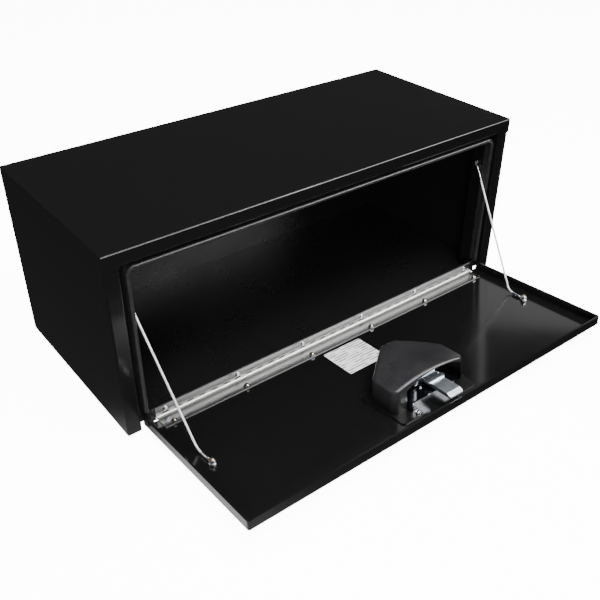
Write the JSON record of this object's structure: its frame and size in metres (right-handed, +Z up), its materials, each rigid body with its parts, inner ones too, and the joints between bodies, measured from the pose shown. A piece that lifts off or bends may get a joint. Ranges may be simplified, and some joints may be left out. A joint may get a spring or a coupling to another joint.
{
  "type": "truck tool box",
  "caption": "Wide folded-steel underbody box; its front door drops down on a long hinge, hangs on wire rope lanyards, and shuts with a paddle latch under a moulded shroud.",
  "frame": {"origin": "centre of the box's underside", "axes": "+X to the right seen from the front, +Y towards the back, +Z up; the door drops towards -Y"},
  "size_m": [0.9144, 0.719, 0.3556],
  "materials": {
    "black_steel": "gloss black powder coat on steel sheet",
    "zinc_hinge": "bright mill-finished hinge steel",
    "zinc_plate": "bright zinc plating",
    "rope_steel": "galvanised wire rope",
    "rubber_black": "matte black rubber",
    "shroud_black": "lightly grained black moulding",
    "label_white": "white film label",
    "latch_steel": "polished stainless steel",
    "paddle_black": "satin black coat",
    "lock_brass": "nickel-brown lock brass"
  },
  "bodies": {
    "box": {"top_panel": "black_steel", "right_side_panel": "black_steel", "left_side_panel": "black_steel", "back_panel": "black_steel", "floor_panel": "black_steel", "opening_frame": "black_steel", "right_jamb": "black_steel", "left_jamb": "black_steel", "door_seal": "rubber_black", "header_weld_beads": "black_steel", "hinge_body_leaf": "zinc_hinge", "hinge_pin": "zinc_hinge", "hinge_body_screws": "zinc_plate", "hinge_body_nuts": "zinc_plate", "upper_lanyard_bolts": "zinc_plate", "upper_lanyard_nuts": "zinc_plate", "upper_lanyard_eyes": "zinc_plate", "left_cable": "rope_steel", "right_cable": "rope_steel"},
    "door": {"door_pan": "black_steel", "hinge_door_leaf": "zinc_hinge", "hinge_door_bolts": "zinc_plate", "hinge_door_nuts": "zinc_plate", "inside_label": "label_white", "lower_lanyard_bolts": "zinc_plate", "lower_lanyard_nuts": "zinc_plate", "lower_lanyard_eyes": "zinc_plate", "latch_cover": "shroud_black", "latch_tray": "latch_steel", "latch_gasket": "rubber_black", "latch_nuts": "zinc_plate", "bolt_guide": "zinc_plate", "guide_screws": "zinc_plate", "bolt_spring": "zinc_plate", "paddle_pin": "zinc_plate", "paddle_spring": "zinc_plate", "lock_barrel": "zinc_plate"},
    "paddle": {"paddle_handle": "paddle_black"},
    "slam_bolt": {"slam_bolt": "zinc_plate"},
    "lock": {"lock_plug": "lock_brass", "lock_cam": "zinc_plate"}
  },
  "joints": [
    {"name": "door_hinge", "type": "hinge", "parent": "box", "child": "door", "pos_m": [0, -0.199, 0.0092], "axis": [-1, 0, 0], "range_deg": [0, 85.58], "deforming": ["left_cable", "right_cable"]},
    {"name": "paddle_hinge", "type": "hinge", "parent": "door", "child": "paddle", "pos_m": [0, -0.42994, 0.03186], "axis": [-1, 0, 0], "range_deg": [0, 35], "stiffness_Nm_per_rad": 0.4, "springref_deg": -34.38},
    {"name": "slam_bolt_slide", "type": "slide", "parent": "door", "child": "slam_bolt", "axis": [0, 0.997, -0.0771], "range_m": [0, 0.012], "deforming": ["bolt_spring"]},
    {"name": "lock_plug_turn", "type": "hinge", "parent": "door", "child": "lock", "pos_m": [-0.034, -0.45225, 0.05465], "axis": [0, -0.0771, -0.997], "range_deg": [0, 90]}
  ],
  "couplings": [
    {"joint": "slam_bolt_slide", "follows": "paddle_hinge", "m_per_rad": 0.0196}
  ]
}
